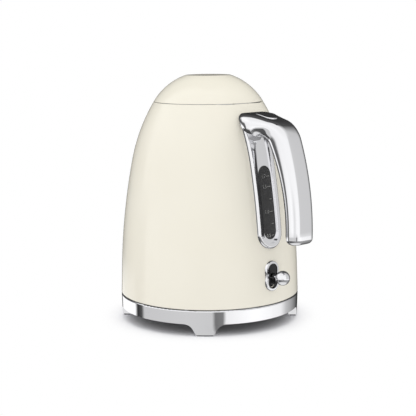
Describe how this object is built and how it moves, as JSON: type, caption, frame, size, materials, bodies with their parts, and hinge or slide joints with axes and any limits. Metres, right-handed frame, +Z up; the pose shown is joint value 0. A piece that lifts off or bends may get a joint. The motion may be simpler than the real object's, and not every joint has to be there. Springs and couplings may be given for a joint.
{
  "type": "electric kettle",
  "caption": "Retro electric kettle with a domed body, hinged lid, open hook handle, water window and lever switch, standing on a separate ring base with feet.",
  "frame": {"origin": "on the surface that the feet stand on, on the axis of the round body", "axes": "+Z up along the body's axis, +X towards the handle, -X towards the spout"},
  "size_m": [0.2237, 0.1794, 0.243],
  "materials": {
    "cream_enamel": "gloss",
    "polished_chrome": "polished",
    "black_plastic": "satin",
    "grey_plastic": "satin",
    "stainless_steel": "brushed",
    "zinc_steel": "bright zinc",
    "cast_aluminium": "satin",
    "grey_rubber": "matt",
    "contact_brass": "plain",
    "smoked_clear_plastic": "gloss"
  },
  "bodies": {
    "base": {"base_ring": "polished_chrome", "foot_pads": "grey_rubber", "base_tray": "black_plastic", "base_bottom": "black_plastic", "base_screws": "zinc_steel", "cord_gland": "grey_rubber"},
    "connector": {"base_connector": "black_plastic", "base_contacts": "contact_brass"},
    "kettle": {"body_shell": "cream_enamel", "bottom_cover": "black_plastic", "bottom_screws": "zinc_steel", "vessel_floor": "stainless_steel", "heat_spreader": "cast_aluminium", "heating_element": "stainless_steel", "control_unit": "black_plastic", "bimetal_disc": "contact_brass", "socket_pin": "contact_brass", "socket_rings": "contact_brass", "steam_tube": "stainless_steel", "spout": "cream_enamel", "filter_frame": "grey_plastic", "filter_mesh": "stainless_steel", "mouth_collar": "grey_plastic", "hinge_pin": "stainless_steel", "lid_spring": "zinc_steel", "handle": "polished_chrome", "handle_cover": "black_plastic", "handle_clamp": "black_plastic", "handle_screws": "zinc_steel", "button_spring": "zinc_steel", "gauge_bezel": "polished_chrome", "gauge_lens": "smoked_clear_plastic", "gauge_seal": "grey_rubber", "switch_plate": "polished_chrome", "switch_insert": "black_plastic", "lever_pin": "stainless_steel", "lever_bracket": "black_plastic"},
    "lid": {"lid_cap": "cream_enamel", "lid_liner": "stainless_steel", "lid_screws": "zinc_steel"},
    "lever": {"lever_arm": "polished_chrome", "lever_ball": "polished_chrome"},
    "release": {"lid_button": "polished_chrome", "release_slider": "black_plastic"}
  },
  "joints": [
    {"name": "kettle_swivel", "type": "hinge", "parent": "base", "child": "connector", "pos_m": [0, 0, 0.0147], "axis": [0, 0, 1], "continuous": true},
    {"name": "kettle_lift", "type": "slide", "parent": "connector", "child": "kettle", "axis": [0, 0, 1], "range_m": [0, 0.12]},
    {"name": "lid_hinge", "type": "hinge", "parent": "kettle", "child": "lid", "pos_m": [0.0445, 0, 0.2215], "axis": [0, 1, 0], "range_deg": [0, 70]},
    {"name": "lever_switch", "type": "hinge", "parent": "kettle", "child": "lever", "pos_m": [0.06982, 0, 0.0535], "axis": [0, 1, 0], "range_deg": [0, 18]},
    {"name": "button_press", "type": "slide", "parent": "kettle", "child": "release", "axis": [0, 0, -1], "range_m": [0, 0.003], "stiffness_N_per_m": 400, "springref_m": -0.003, "deforming": ["button_spring"]}
  ]
}
